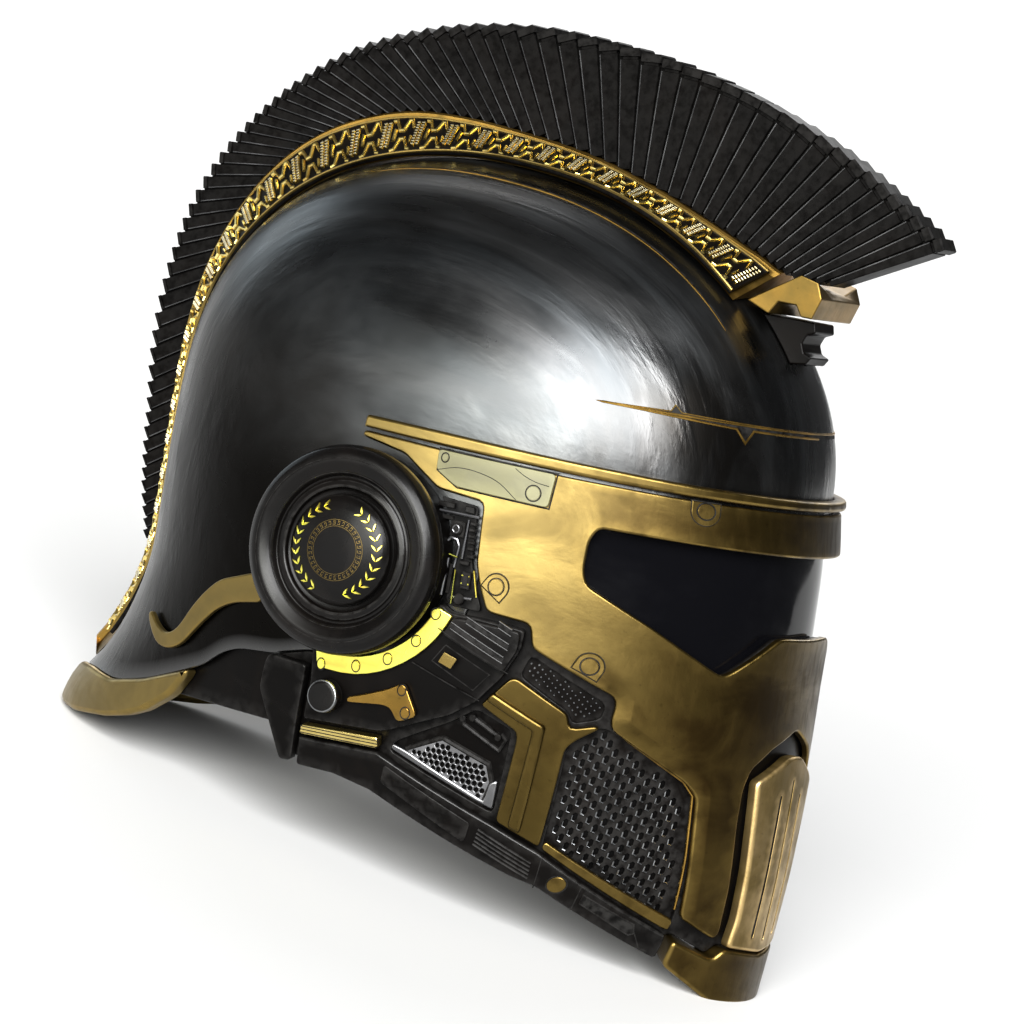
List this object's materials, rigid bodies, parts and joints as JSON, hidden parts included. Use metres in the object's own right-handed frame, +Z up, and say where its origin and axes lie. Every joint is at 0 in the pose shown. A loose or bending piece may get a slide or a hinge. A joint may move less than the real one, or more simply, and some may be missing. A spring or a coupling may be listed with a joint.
{
  "type": "roman_helmet",
  "caption": "Roman-style parade helmet with a bladed crest, a golden faceplate with dark visor, pierced cheek grilles, round ear covers and a flared nape",
  "frame": {"origin": "bottom centre of the bounding box, on the surface that the chin foot and the nape rim rest on", "axes": "-Y out of the face, +X towards the wearer's left, +Z up from the resting surface"},
  "size_m": [0.2638, 0.373, 0.3592],
  "materials": {
    "black_steel": "burnished",
    "aged_gold": "aged satin",
    "satin_black": "satin",
    "bright_brass": "bright",
    "visor_glass": "gloss",
    "steel_mesh": "satin",
    "khaki_enamel": "satin"
  },
  "bodies": {
    "root": {"skull_shell": "black_steel", "face_frame": "satin_black", "faceplate": "aged_gold", "visor_lens": "visor_glass", "brow_lip": "aged_gold", "crest_ridge": "aged_gold", "crest_blades": "satin_black", "crest_bracket": "aged_gold", "crest_lug": "satin_black", "chin_plate": "aged_gold", "chin_foot": "aged_gold", "nape_rim": "aged_gold", "cheek_grille_right": "steel_mesh", "cheek_grille_left": "steel_mesh", "temple_grille_right": "steel_mesh", "temple_grille_left": "steel_mesh", "jaw_grille_right": "steel_mesh", "jaw_grille_left": "steel_mesh", "cheek_strut_right": "aged_gold", "cheek_strut_left": "aged_gold", "temple_insert_right": "khaki_enamel", "temple_insert_left": "khaki_enamel", "key_band_right": "satin_black", "key_band_left": "satin_black", "key_relief_right": "bright_brass", "key_relief_left": "bright_brass", "jaw_bar_right": "satin_black", "jaw_bar_left": "satin_black", "jaw_fins_right": "bright_brass", "jaw_fins_left": "bright_brass", "rear_tab_right": "satin_black", "rear_tab_left": "satin_black", "neck_collar_right": "satin_black", "neck_collar_left": "satin_black", "ear_base_right": "satin_black", "ear_base_left": "satin_black", "ear_disc_right": "satin_black", "ear_disc_left": "satin_black", "ear_cap_right": "satin_black", "ear_cap_left": "satin_black", "ear_strip_right": "bright_brass", "ear_strip_left": "bright_brass", "mount_plate_right": "satin_black", "mount_plate_left": "satin_black", "vent_plate_right": "satin_black", "vent_plate_left": "satin_black", "dial_arm_right": "aged_gold", "dial_arm_left": "aged_gold", "port_panel_right": "satin_black", "port_panel_left": "satin_black", "nape_tendril_right": "aged_gold", "nape_tendril_left": "aged_gold", "jaw_dial_right": "satin_black", "jaw_dial_left": "satin_black"}
  },
  "joints": []
}
